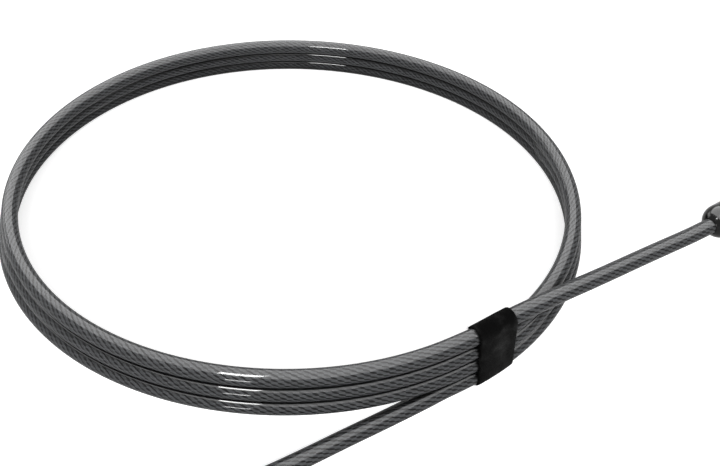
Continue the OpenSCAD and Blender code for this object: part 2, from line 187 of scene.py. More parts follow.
def roundLines(tree, at, slip, scale, detail=3.0):   # fine lines that run round the axis at this x and z
    place = node(tree, "SeparateXYZ")
    tree.links.new(onObject(tree), place.inputs[0])
    x = calc(tree, "SUBTRACT", place.outputs[0], at[0])
    z = calc(tree, "SUBTRACT", place.outputs[2], at[1])
    squares = calc(tree, "ADD", calc(tree, "MULTIPLY", x, x), calc(tree, "MULTIPLY", z, z))
    distance = calc(tree, "SQRT", squares)
    turn = calc(tree, "MULTIPLY", calc(tree, "ARCTAN2", z, x), slip)
    flow = node(tree, "CombineXYZ")
    for socket, value in zip(flow.inputs, (turn, place.outputs[1], distance)):
        feed(tree, socket, value)
    return noise(tree, flow.outputs[0], scale, detail)


edgeLook = {
    "radius": 0.16 * mm,
    "onTurned": 0.7,             # share of that radius on turned metal
    "limits": (0.80, 0.985),     # how alike the normals are, from worn to clean
}


def edgeWear(tree, radius):      # 1 on sharp outer and inner edges, 0 on the flats
    rounded = node(tree, "Bevel", samples=6)
    rounded.inputs["Radius"].default_value = radius
    across = node(tree, "VectorMath", operation="DOT_PRODUCT")
    tree.links.new(rounded.outputs[0], across.inputs[0])
    tree.links.new(node(tree, "NewGeometry").outputs["Normal"], across.inputs[1])
    return remap(tree, across.outputs["Value"], *edgeLook["limits"], 1.0, 0.0), rounded.outputs[0]


def grey(value, tint=(1.0, 1.0, 1.0)):
    return (value * tint[0], value * tint[1], value * tint[2], 1.0)


# the cable: one length of coated steel strand
cable = {
    "diameter": 4.5,             # over the jacket
    "length": 1800,
    "lay": 26.7,                 # one turn of the six outer strands
    "sides": 28,
    "fineStep": 0.6,             # spacing at which the smooth line is worked out
    "ringStep": 2.4,
    "exit": (-20.71, 1.5, 11.0),
    "lead": [(-15.787, 1.5, 11.0), (-21, 1.5, 11), (-28, 1.6, 11.1), (-38, 1.8, 11.7), (-48, 1.8, 12.6),
             (-58, 1.6, 13.7), (-68, 1.4, 14.9), (-77, 1.3, 16), (-86, 1.2, 16.8), (-95, 1.3, 17.1)],
    "coilAt": (-112, 80),
    "coilRadius": 79,
    "coilTurns": 3,
    "coilStart": -88,            # direction in which the lowest turn begins
    "coilStep": 5,               # degrees between the points of a turn
    "coilPitch": 4.6,            # rise of one turn
    "coilTaper": 1.3,            # how much smaller a turn's radius is than the last
    "coilDrift": 0.8,            # how far its centre lies in front of the last one's
    "coilOval": 0.048,
    "coilOvalAngle": -46,
    "coilSettle": 1.35,          # how much the turns sink away from the strap
    "strapLift": 1.0,            # how much they are lifted under it
    "strapLiftFall": 4,          # how soon that lift fades
    "tail": [(-120, 0.5, 2.8), (-129, 1.1, 2.3), (-141, 1.7, 2.3), (-153, 2.2, 2.3), (-163, 2.7, 2.6),
             (-170, 3.1, 3.3), (-174, 3.2, 3.6), (-188, 3.2, 3.6)],
    "loop": [(-195, 4.4, 3.2), (-201, 8, 2.6), (-207, 12.4, 2.3), (-214, 16.2, 2.3),
             (-222, 17.6, 2.3), (-229.5, 14.8, 2.3), (-234.5, 8.7, 2.3)],
    "loopEnd": (-236.2, 0.85, 2.3),
    "back": [(-188, -1.5, 3.6), (-172.5, -1.5, 3.6)],
}


def coilPoint(t):
    turn = t / 360
    angle = math.radians(cable["coilStart"] + t)
    wave = math.cos(math.radians(t))
    middle = turn - cable["coilTurns"] / 2
    oval = 1 + cable["coilOval"] * math.cos(2 * (angle - math.radians(cable["coilOvalAngle"])))
    radius = (cable["coilRadius"] - cable["coilTaper"] * middle) * oval
    rise = turn + cable["coilSettle"] * (wave - 1) / (2 * math.pi)
    lift = cable["strapLift"] * ((1 + wave) / 2) ** cable["strapLiftFall"]
    return Vector((
        cable["coilAt"][0] + radius * math.cos(angle),
        cable["coilAt"][1] - cable["coilDrift"] * middle + radius * math.sin(angle),
        cable["diameter"] / 2 + cable["coilPitch"] * rise + lift))


def coilHeading(t):              # measured over one degree
    return (coilPoint(t + 0.5) - coilPoint(t - 0.5)).normalized()


def evenSpots(along, parts, count):      # for each place, its step and the share of it
    spots = []
    i = 0
    for j in range(count):
        want = along[-1] * j / parts
        while i < len(along) - 2 and along[i + 1] < want:
            i += 1
        spots.append((i, min((want - along[i]) / (along[i + 1] - along[i]), 1.0)))
    return spots


def smoothLine(points, fine, step):      # centripetal Catmull-Rom through the points, then even rings
    ends = [2 * points[0] - points[1]] + points + [2 * points[-1] - points[-2]]
    dense = []
    for i in range(1, len(ends) - 2):
        quad = ends[i - 1:i + 3]
        knots = [0.0]
        for a, b in zip(quad, quad[1:]):
            knots.append(knots[-1] + math.sqrt((b - a).length))
        parts = max(2, math.ceil((quad[2] - quad[1]).length / fine))
        for j in range(parts):
            at = knots[1] + (knots[2] - knots[1]) * j / parts
            level = list(quad)
            for depth in (1, 2, 3):      # the last blend is over the middle span alone
                spans = [(k, k + depth) for k in range(len(level) - 1)] if depth < 3 else [(1, 2)]
                level = [(low * (knots[b] - at) + high * (at - knots[a])) / (knots[b] - knots[a])
                         for low, high, (a, b) in zip(level, level[1:], spans)]
            dense.append(level[0])
    dense.append(points[-1])
    along = list(accumulate(((b - a).length for a, b in zip(dense, dense[1:])), initial=0.0))
    rings = round(along[-1] / step)
    spots = evenSpots(along, rings, rings + 1)
    return [dense[i].lerp(dense[i + 1], share) for i, share in spots], along[-1]


def cablePath():
    topTurn = 360 * cable["coilTurns"]
    middleY = cable["loopEnd"][1]
    mirrored = [(x, 2 * middleY - y, z) for x, y, z in reversed(cable["loop"])]
    points = [Vector(p) for p in cable["lead"]]
    points.append(coilPoint(topTurn) + cable["diameter"] * coilHeading(topTurn))
    points += [coilPoint(t) for t in range(topTurn, -1, -cable["coilStep"])]
    points.append(coilPoint(0) - cable["diameter"] * coilHeading(0))
    farEnd = cable["tail"] + cable["loop"] + [cable["loopEnd"]] + mirrored + cable["back"]
    points += [Vector(p) for p in farEnd]
    return smoothLine(points, cable["fineStep"], cable["ringStep"])


def buildCable():
    line, length = cablePath()
    sides = cable["sides"]
    radius = cable["diameter"] / 2
    points = []
    faces = []
    side = Vector((0, 1, 0))
    for i, place in enumerate(line):
        ahead = (line[min(i + 1, len(line) - 1)] - line[max(i - 1, 0)]).normalized()
        side = (side - ahead * side.dot(ahead)).normalized()   # carried along, so that the rings don't twist
        up = ahead.cross(side)
        for k in range(sides):
            angle = 2 * math.pi * k / sides
            points.append((place + radius * (math.cos(angle) * side + math.sin(angle) * up)) * mm)
    for i in range(len(line) - 1):
        for k in range(sides):
            a = i * sides + k
            b = i * sides + (k + 1) % sides
            faces.append((a, b, b + sides, a + sides))
    faces.append(tuple(range(sides - 1, -1, -1)))
    faces.append(tuple((len(line) - 1) * sides + k for k in range(sides)))
    tube = newMesh("cable_jacket", points, faces)
    layer = tube.data.uv_layers.new(name="lay")              # u counts turns of the lay, v goes once round
    for face in tube.data.polygons:
        face.use_smooth = len(face.vertices) == 4
        if not face.use_smooth:
            continue
        for corner, loopIndex in enumerate(face.loop_indices):
            i = face.index // sides + (1 if corner > 1 else 0)
            k = face.index % sides + (1 if corner in (1, 2) else 0)
            layer.data[loopIndex].uv = (i / (len(line) - 1) * length / cable["lay"], k / sides)
    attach(tube, "cable")
    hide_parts("cable_lead", "cable_coil", "cable_tail")
    print("cable built,", round(length), "mm long,", len(line), "rings")
    return tube, line


cableTube, cableLine = buildCable()


# the cable's look: strands of wire, seen darkly through a smoked vinyl jacket
jacketLook = {
    "wire": grey(0.061, (0.97, 1.0, 1.05)),
    "wireShade": grey(0.044, (0.97, 1.0, 1.05)),
    "groove": grey(0.003),
    "strands": 6,
    "wires": 4,                  # wires seen across one strand
    "dashes": 2,                 # dark lines seen across one strand
    "wireEdge": (0.1, 0.9),      # where a wire's round turns from shaded to bright
    "dashEdge": (0.58, 1.02),    # the same between a dark line and the wires
    "grooveEdge": (0.0, 0.5),    # the same beside the groove between two strands
    "grooveLeast": 0.4,          # brightness left in that groove
    "strandDepth": 0.22 * mm,
    "wireDepth": 0.03 * mm,
    "dashDepth": 0.06 * mm,
    "crossLean": 0.5,            # slope of the wires that cross below
    "crossing": 0.55,            # how much they break up the dark lines
    "breakUp": 0.5,              # how unevenly the dark lines show through the vinyl
    "breakUpScale": 620.0,
    "surface": {"Roughness": 0.45, "Specular IOR Level": 0.05, "Coat Weight": 0.3, "Coat Roughness": 0.04,
                "Coat IOR": 1.45, "Coat Tint": (0.80, 0.81, 0.83, 1.0)},
    "gapReach": 4.4 * mm,        # how near another strand or the floor darkens the jacket
    "gapOpenness": (0.56, 0.97),     # share of open air, from darkest to clear
    "gapShade": 0.05,
}


def gapShade(tree, colour):      # shade where strands nearly touch
    air = node(tree, "AmbientOcclusion", samples=8)
    air.inputs["Distance"].default_value = jacketLook["gapReach"]
    clear = remap(tree, air.outputs["AO"], *jacketLook["gapOpenness"], jacketLook["gapShade"], 1.0)
    return mixColour(tree, 1.0, colour, clear, "MULTIPLY")


def jacketMaterial():
    material, tree, shader = newMaterial("smoked_vinyl_over_strand")
    place = node(tree, "UVMap", uv_map="lay")
    split = node(tree, "SeparateXYZ")
    tree.links.new(place.outputs[0], split.inputs[0])
    rightHand = calc(tree, "SUBTRACT", split.outputs[1], split.outputs[0])
    slope = calc(tree, "MULTIPLY", split.outputs[0], jacketLook["crossLean"])
    leftHand = calc(tree, "ADD", split.outputs[1], slope)
    uneven = noise(tree, onObject(tree), jacketLook["breakUpScale"], 2.0)

    def crown(lean, count):      # 1 along the top of each round, 0 between two
        phase = calc(tree, "FRACT", calc(tree, "MULTIPLY", lean, count))
        across = calc(tree, "SUBTRACT", calc(tree, "MULTIPLY", phase, 2), 1)
        return calc(tree, "SUBTRACT", 1.0, calc(tree, "MULTIPLY", across, across), clamp=True)

    strand = crown(rightHand, jacketLook["strands"])
    seen = crown(rightHand, jacketLook["strands"] * jacketLook["dashes"])
    wire = crown(rightHand, jacketLook["strands"] * jacketLook["wires"])
    cross = crown(leftHand, jacketLook["strands"] * jacketLook["dashes"])
    bright = remap(tree, wire, *jacketLook["wireEdge"], 0.0, 1.0)
    colour = mixColour(tree, bright, jacketLook["wireShade"], jacketLook["wire"])
    worn = calc(tree, "MULTIPLY", calc(tree, "SUBTRACT", uneven, 0.5), jacketLook["breakUp"])
    below = remap(tree, cross, *jacketLook["wireEdge"], 1.0, 0.0)
    over = calc(tree, "MULTIPLY", below, jacketLook["crossing"])
    raised = calc(tree, "ADD", calc(tree, "ADD", seen, worn), over)
    dashes = remap(tree, raised, *jacketLook["dashEdge"], 0.0, 1.0)
    grooves = remap(tree, strand, *jacketLook["grooveEdge"], jacketLook["grooveLeast"], 1.0)
    shown = calc(tree, "MULTIPLY", dashes, grooves)          # 1 on the wires, 0 in the dark lines
    colour = mixColour(tree, shown, jacketLook["groove"], colour)
    tree.links.new(gapShade(tree, colour), shader.inputs["Base Color"])
    relief = bump(tree, calc(tree, "SQRT", strand), jacketLook["strandDepth"])
    relief = bump(tree, shown, jacketLook["dashDepth"], normal=relief)
    tree.links.new(bump(tree, wire, jacketLook["wireDepth"], normal=relief), shader.inputs["Normal"])
    for name, value in jacketLook["surface"].items():
        shader.inputs[name].default_value = value
    return material


dress(cableTube, jacketMaterial())
print("cable dressed")

# ferrule that closes the end loop
ferrule = {
    "from": -188.0,
    "to": -174.0,
    "strands": (3.2, -1.5),
    "height": 3.6,               # of the strands' centres
    "radius": 3.6,
    "arcStep": 9,                # degrees between the points of its round sides
    "rim": 0.7,                  # radius to which its ends are rounded
    "rimRings": (0, 0.12, 0.35, 0.7, 1.4),   # distances from an end
    "bore": 2.3,                 # radius of the two bores
    "drill": 20,                 # length of the tool that cuts them
    "presses": 3,                # press marks along it
    "press": 0.4,                # depth of a press mark
    "pressHalf": 1.3,            # half its width
    "pressRings": (-1.3, -0.8, -0.4, 0, 0.4, 0.8, 1.3),      # distances from its middle
    "pressRound": 1.2,           # how soon it reaches its full depth round the sleeve
}


def buildFerrule():
    middle = sum(ferrule["strands"]) / 2
    half = (ferrule["strands"][0] - ferrule["strands"][1]) / 2
    angles = [math.radians(a) for a in range(-90, 91, ferrule["arcStep"])]
    arc = [(math.cos(a), math.sin(a)) for a in angles]
    outline = [(half + ferrule["radius"] * c, ferrule["radius"] * s) for c, s in arc]
    outline += [(-half - ferrule["radius"] * c, -ferrule["radius"] * s) for c, s in arc]
    length = ferrule["to"] - ferrule["from"]
    marks = [length * (i + 1) / (ferrule["presses"] + 1) for i in range(ferrule["presses"])]
    stations = list(ferrule["rimRings"])
    for mark in marks:
        stations += [mark + step for step in ferrule["pressRings"]]
    stations += [length - s for s in reversed(ferrule["rimRings"])]
    points = []
    faces = []
    for s in stations:
        short = max(0.0, ferrule["rim"] - min(s, length - s))
        shrink = ferrule["rim"] - math.sqrt(ferrule["rim"] ** 2 - short ** 2)
        away = [min(abs(s - mark) / ferrule["pressHalf"], 1) for mark in marks]
        press = max((math.cos(math.pi * share) + 1) / 2 for share in away)
        for y, z in outline:
            size = math.hypot(y, z)
            keep = 1 - shrink / size
            flat = ferrule["press"] * press * min(1.0, abs(z) / ferrule["radius"] * ferrule["pressRound"])
            points.append(Vector((ferrule["from"] + s, middle + y * keep,
                                  ferrule["height"] + z * keep - math.copysign(flat, z))) * mm)
    count = len(outline)
    for i in range(len(stations) - 1):
        for k in range(count):
            a, b = i * count + k, i * count + (k + 1) % count
            faces.append((a, a + count, b + count, b))
    faces.append(tuple(range(count)))
    faces.append(tuple((len(stations) - 1) * count + k for k in reversed(range(count))))
    sleeve = newMesh("loop_sleeve", points, faces)
    for strand in ferrule["strands"]:
        bpy.ops.mesh.primitive_cylinder_add(
            vertices=48, radius=ferrule["bore"] * mm, depth=ferrule["drill"] * mm,
            rotation=(0, math.pi / 2, 0),
            location=((ferrule["from"] + ferrule["to"]) / 2 * mm, strand * mm, ferrule["height"] * mm))
        drill = bpy.context.object
        cut = sleeve.modifiers.new("bore", "BOOLEAN")
        cut.operation = "DIFFERENCE"
        cut.solver = "EXACT"
        cut.object = drill
        applyModifiers(sleeve)
        bpy.data.objects.remove(drill)
    smoothByAngle(sleeve, 40)
    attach(sleeve, "cable")
    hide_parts("loop_ferrule")
    return sleeve


sleeve = buildFerrule()
print("sleeve built")

# cut end of the cable, just past the sleeve
cutEnd = {
    "at": (-172.5, -1.5, 3.6),
    "strand": 0.54,              # radius of each of the seven strands
    "wire": 0.175,
    "depth": 0.7,
    "proud": 0.26,               # how far the wires stand out of the jacket
    "uneven": 0.05,
    "dome": 0.05,
    "roundSteps": (0.3, 0.4),    # shares of the wire's radius, from the rim inwards
    "strandLean": 11,            # degrees by which the ring of strands is turned
    "wireLean": 17,              # and each strand's wires against the last one's
    "seed": 3,
}


def aroundAndMiddle(spacing, lean):      # one place in the middle and six round it, as y and z
    ring = [math.radians(60 * k + lean) for k in range(6)]
    return [(0.0, 0.0)] + [(spacing * math.cos(a), spacing * math.sin(a)) for a in ring]


def buildCutEnd():
    draw = random.Random(cutEnd["seed"])
    deselectAll()
    bpy.ops.mesh.primitive_cylinder_add(vertices=16, radius=cutEnd["wire"] * mm, depth=cutEnd["depth"] * mm,
                                        rotation=(0, math.pi / 2, 0))
    wire = bpy.context.object
    bpy.ops.object.transform_apply(location=True, rotation=True, scale=True)
    for face in wire.data.polygons:
        face.select = face.normal.x > 0.9
    bpy.ops.object.mode_set(mode="EDIT")
    for share in cutEnd["roundSteps"]:       # the cut face is rounded over
        bpy.ops.mesh.inset(thickness=cutEnd["wire"] * share * mm)
        bpy.ops.transform.translate(value=(cutEnd["dome"] * share * mm, 0, 0))
    bpy.ops.object.mode_set(mode="OBJECT")
    x, y, z = cutEnd["at"]
    wires = []
    strands = aroundAndMiddle(2 * cutEnd["strand"], cutEnd["strandLean"])
    for number, (strandY, strandZ) in enumerate(strands):
        for wireY, wireZ in aroundAndMiddle(2 * cutEnd["wire"], cutEnd["wireLean"] * number):
            copy = wire.copy()
            copy.data = wire.data.copy()
            scene.collection.objects.link(copy)
            out = cutEnd["proud"] - cutEnd["depth"] / 2 + draw.uniform(-1, 1) * cutEnd["uneven"]
            place = Vector((x + out, y + strandY + wireY, z + strandZ + wireZ)) * mm
            copy.data.transform(Matrix.Translation(place))
            wires.append(copy)
    bpy.data.objects.remove(wire)
    wires = joinPieces(wires, "cable_cut_wires")
    smoothByAngle(wires, 40)
    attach(wires, "cable")
    return wires


cutWires = buildCutEnd()
print("cut end built")

# strap that holds the coil
strap = {
    "middle": -99.4,
    "width": 11.2,
    "thickness": 0.45,
    "gap": 0.08,                 # between the tape and the strands
    "frontOf": 10,               # only strands in front of this y
    "rightOf": -150,             # and right of this x pass through the strap
    "hullStep": 5,               # degrees between the points round a strand
    "around": 144,               # points round the loop
    "across": 22,                # rows across the tape, between those at its edges
    "leftRows": (0.0, 0.008, 0.02),  # shares of the width
    "rightRows": (0.98, 0.992, 1.0),
    "edgeRound": 0.2,
    "tuck": 0.75,                # how far the left edge follows the strands, from 0 to 1
    "tuckWidth": 2.2,
    "patch": 8.0,                # length of the hook end
    "patchSteps": 28,
    "patchAcross": 24,
    "patchCorner": 1.8,
    "patchRim": 0.4,             # width of its rounded rim
    "patchMerge": 0.004,         # points nearer than this become one
    "patchLift": 0.12,
    "threads": 700,              # loose threads along the left edge
    "threadLength": (0.25, 1.15),
    "threadRadius": 0.06,
    "threadRoot": 0.15,          # how deep in the tape one starts
    "threadSpread": 0.45,        # how far it leans to the sides
    "threadBack": 0.3,           # how far its end bends back
    "threadCurl": 0.5,           # and to the sides
    "threadBend": 0.5,           # how much of both it takes
    "threadAside": (0, 0.6, 0.8),    # a direction that no thread points in
    "threadTaper": ((0.0, 1.0), (0.5, 0.8), (1.0, 0.25)),  # shares of its length and of its radius
    "seed": 7,
}


def strandsUnderStrap(x):        # centres of the strands, as y and z, where the cable's line crosses x
    found = []
    for a, b in zip(cableLine, cableLine[1:]):
        near = max(a.y, b.y) < strap["frontOf"] and a.x > strap["rightOf"]
        if near and (a.x - x) * (b.x - x) <= 0 and a.x != b.x:
            share = (x - a.x) / (b.x - a.x)
            spot = a.lerp(b, share)
            found.append((spot.y, spot.z))
    return sorted(found, key=lambda spot: spot[1])


def hullOutline(centres, radius, count):
    cloud = sorted({(y + radius * math.cos(math.radians(a)), z + radius * math.sin(math.radians(a)))
                    for y, z in centres for a in range(0, 360, strap["hullStep"])})

    def half(points):
        kept = []
        for p in points:
            while len(kept) > 1 and ((kept[-1][0] - kept[-2][0]) * (p[1] - kept[-2][1])
                                     - (kept[-1][1] - kept[-2][1]) * (p[0] - kept[-2][0])) <= 0:
                kept.pop()
            kept.append(p)
        return kept[:-1]

    hull = half(cloud) + half(cloud[::-1])
    start = max(range(len(hull)), key=lambda i: hull[i][1])       # begin at the top, the same on each side
    hull = hull[start:] + hull[:start] + [hull[start]]
    along = list(accumulate((math.dist(a, b) for a, b in zip(hull, hull[1:])), initial=0.0))
    spots = evenSpots(along, count, count)
    ring = [tuple(a + (b - a) * share for a, b in zip(hull[i], hull[i + 1])) for i, share in spots]
    return ring, along[-1]


def tapeSection():               # once round the tape's own thickness: x share, and share from inner to outer
    inner = [(k + 0.5) / strap["across"] for k in range(strap["across"])]
    shares = [*strap["leftRows"], *inner, *strap["rightRows"]]
    section = []
    for share in shares:
        short = max(0.0, 1 - min(share, 1 - share) * strap["width"] / strap["edgeRound"])
        section.append((share, 0.5 + 0.5 * math.sqrt(1 - short * short)))
    return section + [(share, 1 - depth) for share, depth in section[-2:0:-1]]


def tuckIn(spot, centres, lift, keep):   # brings a point of the tape nearer to the strand below it
    nearest = min(centres, key=lambda c: math.dist(c, spot))
    away = math.dist(nearest, spot)
    want = away * keep + (cable["diameter"] / 2 + lift) * (1 - keep)
    return tuple(n + (s - n) * want / away for n, s in zip(nearest, spot))


def faceOutwards(thing, merge=0.0):
    makeActive(thing)
    bpy.ops.object.mode_set(mode="EDIT")
    bpy.ops.mesh.select_all(action="SELECT")
    if merge:
        bpy.ops.mesh.remove_doubles(threshold=merge)
    bpy.ops.mesh.normals_make_consistent(inside=False)
    bpy.ops.object.mode_set(mode="OBJECT")


def buildStrap():
    inner = cable["diameter"] / 2 + strap["gap"]
    count = strap["around"]
    section = tapeSection()
    rings = []
    for share, depth in section:
        x = strap["middle"] + strap["width"] * (share - 0.5)
        centres = strandsUnderStrap(x)
        ring, length = hullOutline(centres, inner + strap["thickness"] * depth, count)
        near = max(0.0, 1 - share * strap["width"] / strap["tuckWidth"])
        keep = 1 - strap["tuck"] * near * near
        ring = [tuckIn(spot, centres, strap["gap"] + strap["thickness"] * depth, keep) for spot in ring]
        rings.append([Vector((x, y, z)) * mm for y, z in ring])
    points = [p for ring in rings for p in ring]
    faces = []
    for i in range(len(rings)):
        for k in range(count):
            a, b = i * count + k, i * count + (k + 1) % count
            c, d = ((i + 1) % len(rings)) * count + (k + 1) % count, ((i + 1) % len(rings)) * count + k
            faces.append((a, b, c, d))
    band = newMesh("strap_band_cloth", points, faces)
    weave = band.data.uv_layers.new(name="weave")            # u along the tape, v across it, in mm
    for face in band.data.polygons:
        i, k = divmod(face.index, count)
        for corner, loopIndex in enumerate(face.loop_indices):
            share = section[(i + (corner in (2, 3))) % len(section)][0]
            weave.data[loopIndex].uv = ((k + (corner in (1, 2))) * length / count, share * strap["width"])
    faceOutwards(band)
    smoothByAngle(band, 50)
    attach(band, "cable")
    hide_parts("strap_band")
    print("strap built,", round(length, 1), "mm round", len(centres), "strands")
    return band, length, rings[0]


def buildHookEnd():              # the strap's loose end, pressed flat on the far side of the bundle
    centres = strandsUnderStrap(strap["middle"] + strap["width"] / 2)
    low = Vector((0, *centres[0]))       # it runs along the line from the lowest strand to the third
    high = Vector((0, *centres[2]))
    lean = (high - low).normalized()
    out = Vector((0, lean.z, -lean.y))
    reach = cable["diameter"] / 2 + strap["gap"] + strap["thickness"] + strap["patchLift"]
    middle = (low + high) / 2 + out * reach
    half = strap["patch"] / 2
    corner = strap["patchCorner"]
    steps, across = strap["patchSteps"], strap["patchAcross"]
    points = []
    for side in (0, 1):
        for i in range(steps + 1):
            s = -half + strap["patch"] * i / steps
            past = max(0.0, abs(s) - (half - corner))
            wide = strap["width"] / 2 - (corner - math.sqrt(max(0.0, corner * corner - past * past)))
            for k in range(across + 1):
                x = wide * math.sin(math.pi * (k / across - 0.5))
                rim = min(half - abs(s), wide - abs(x), strap["patchRim"]) / strap["patchRim"]
                thick = strap["thickness"] * (0.5 + (side - 0.5) * math.sqrt(1 - (1 - rim) ** 2))
                spot = middle + lean * s + out * thick
                points.append(Vector((strap["middle"] + x, spot.y, spot.z)) * mm)
    faces = []
    layer = (steps + 1) * (across + 1)
    for side in (0, 1):
        for i in range(steps):
            for k in range(across):
                a = side * layer + i * (across + 1) + k
                faces.append((a, a + 1, a + across + 2, a + across + 1))
    patch = newMesh("strap_hook_end", points, faces)
    weave = patch.data.uv_layers.new(name="weave")
    for loop in patch.data.loops:
        spot = patch.data.vertices[loop.vertex_index].co / mm
        weave.data[loop.index].uv = ((spot - middle).dot(lean), spot.x - strap["middle"])
    faceOutwards(patch, strap["patchMerge"] * mm)
    smoothByAngle(patch, 60)
    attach(patch, "cable")
    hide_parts("strap_hook")
    return patch


def buildLooseThreads(edge):     # short frayed threads that stand out from the strap's left edge
    draw = random.Random(strap["seed"])
    points = []
    faces = []
    for _ in range(strap["threads"]):
        at = draw.random() * len(edge)
        k = int(at)
        root = edge[k].lerp(edge[(k + 1) % len(edge)], at - k)
        length = draw.uniform(*strap["threadLength"]) * mm
        spread = strap["threadSpread"]
        curl = strap["threadCurl"]
        aim = Vector((-1, draw.gauss(0, spread), draw.gauss(0, spread))).normalized()
        pull = Vector((strap["threadBack"], draw.gauss(0, curl), draw.gauss(0, curl)))
        bend = pull * length * strap["threadBend"]
        side = aim.cross(Vector(strap["threadAside"])).normalized() * strap["threadRadius"] * mm
        up = aim.cross(side)
        start = len(points)
        root = root - aim * strap["threadRoot"] * mm
        for share, wide in strap["threadTaper"]:
            centre = root + aim * length * share + bend * share * share
            for turn in range(3):
                angle = 2 * math.pi * turn / 3
                points.append(centre + (side * math.cos(angle) + up * math.sin(angle)) * wide)
        for ring in (0, 3):
            for turn in range(3):
                a, b = start + ring + turn, start + ring + (turn + 1) % 3
                faces.append((a, b, b + 3, a + 3))
        faces.append((start + 2, start + 1, start))
        faces.append((start + 6, start + 7, start + 8))
    threads = newMesh("strap_loose_threads", points, faces)
    weave = threads.data.uv_layers.new(name="weave")
    for loop in threads.data.loops:
        spot = threads.data.vertices[loop.vertex_index].co / mm
        weave.data[loop.index].uv = (spot.z, spot.x)
    faceOutwards(threads)
    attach(threads, "cable")
    return threads


strapBand, strapLength, strapEdge = buildStrap()
hookEnd = buildHookEnd()
looseThreads = buildLooseThreads(strapEdge)
print("hook end and loose threads built")

strapLook = {
    "black": grey(0.0014),
    "worn": grey(0.032),
    "patchScale": 190.0,
    "patchWear": (0.44, 0.74),   # where a patch turns from black to worn
    "patchLeast": 0.04,
    "fuzzScale": 2600.0,
    "fuzzWear": (0.38, 0.66),    # the same for the fuzz
    "fuzzLeast": 0.15,
    "fuzzHeight": 0.05 * mm,
    "thread": 0.42,              # spacing of the weave, in millimetres
    "threadShift": 1.6,          # how far the threads across are out of step with those along
    "threadHeight": 0.06 * mm,
    "roughness": (0.55, 0.8),
    "specular": 0.04,
}


def strapMaterial():
    material, tree, shader = newMaterial("strap_fabric")
    split = node(tree, "SeparateXYZ")
    tree.links.new(node(tree, "UVMap", uv_map="weave").outputs[0], split.inputs[0])
    place = onObject(tree)

    def thread(value, shift):
        turn = calc(tree, "MULTIPLY", value, 2 * math.pi / strapLook["thread"])
        return calc(tree, "SINE", calc(tree, "ADD", turn, shift))

    along = thread(split.outputs[0], 0.0)
    across = thread(split.outputs[1], strapLook["threadShift"])
    fuzz = noise(tree, place, strapLook["fuzzScale"], 4.0, 0.7)
    patches = noise(tree, place, strapLook["patchScale"])
    wornPatch = remap(tree, patches, *strapLook["patchWear"], strapLook["patchLeast"], 1.0)
    wornFuzz = remap(tree, fuzz, *strapLook["fuzzWear"], strapLook["fuzzLeast"], 1.0)
    shade = calc(tree, "MULTIPLY", wornPatch, wornFuzz)
    tree.links.new(mixColour(tree, shade, strapLook["black"], strapLook["worn"]), shader.inputs["Base Color"])
    relief = bump(tree, calc(tree, "MULTIPLY", along, across), strapLook["threadHeight"])
    tree.links.new(bump(tree, fuzz, strapLook["fuzzHeight"], normal=relief), shader.inputs["Normal"])
    roughen(tree, shader, fuzz, strapLook["roughness"])
    shader.inputs["Specular IOR Level"].default_value = strapLook["specular"]
    return material


strapCloth = strapMaterial()
for piece in (strapBand, hookEnd, looseThreads):
    dress(piece, strapCloth)
print("strap dressed")

# finishes of the lock head and of the fittings
lockAxis = (9.71333 * mm, 11 * mm)       # x and z of the axis that the head turns about
paintLook = {
    "cloudScale": 210.0,
    "faded": (0.35, 0.65),       # where the clouds turn from fresh to faded
    "rubScale": 900.0,
    "rubbed": (0.42, 0.6),       # where the paint starts to be rubbed through, and is
    "metal": 0.7,                # how metallic it is there
    "grainScale": 3200.0,
    "grainStrength": 0.5,
    "spunSlip": 0.0004,          # how little the spun lines change on their way round
    "spunScale": 9000.0,
    "spunStrength": 0.6,
}


def paintedMaterial(slot, facts):        # satin paint over die-cast zinc, rubbed through on the edges
    material, tree, shader = newMaterial(slot)
    place = onObject(tree)
    edge, rounded = edgeWear(tree, edgeLook["radius"])
    grain = noise(tree, place, paintLook["grainScale"])
    cloud = noise(tree, place, paintLook["cloudScale"])
    faded = remap(tree, cloud, *paintLook["faded"], 0.0, 1.0)
    colour = mixColour(tree, faded, facts["colour"], facts["faded"])
    patches = noise(tree, place, paintLook["rubScale"])
    rubbed = calc(tree, "MULTIPLY", edge, remap(tree, patches, *paintLook["rubbed"], 0.0, facts["wear"]))
    tree.links.new(mixColour(tree, rubbed, colour, facts["bare"]), shader.inputs["Base Color"])
    tree.links.new(calc(tree, "MULTIPLY", rubbed, paintLook["metal"]), shader.inputs["Metallic"])
    roughen(tree, shader, cloud, facts["roughness"])
    relief = bump(tree, grain, facts["peel"] * mm, paintLook["grainStrength"], normal=rounded)
    if "spun" in facts:
        lines = roundLines(tree, lockAxis, paintLook["spunSlip"], paintLook["spunScale"], 2.0)
        relief = bump(tree, lines, facts["spun"] * mm, paintLook["spunStrength"], normal=relief)
    tree.links.new(relief, shader.inputs["Normal"])
    return material


turnedLook = {
    "roundSlip": 0.0003,         # how little the turning marks change on their way round
    "lineStrength": 0.7,
    "cloudScale": 260.0,
    "lines": 0.55,               # share of the marks in the colour
    "clouds": 0.45,              # and of the clouds
    "shade": (0.34, 0.66),       # where both together turn from dark to light
    "edgeShine": 0.5,
    "scratchScale": 700.0,
    "scratchStretch": (1.0, 1.0, 9.0),
    "scratches": (0.66, 0.74),   # where a scratch starts, and is at its deepest
    "scratchDepth": 0.01 * mm,
    "scratchStrength": 0.6,
}


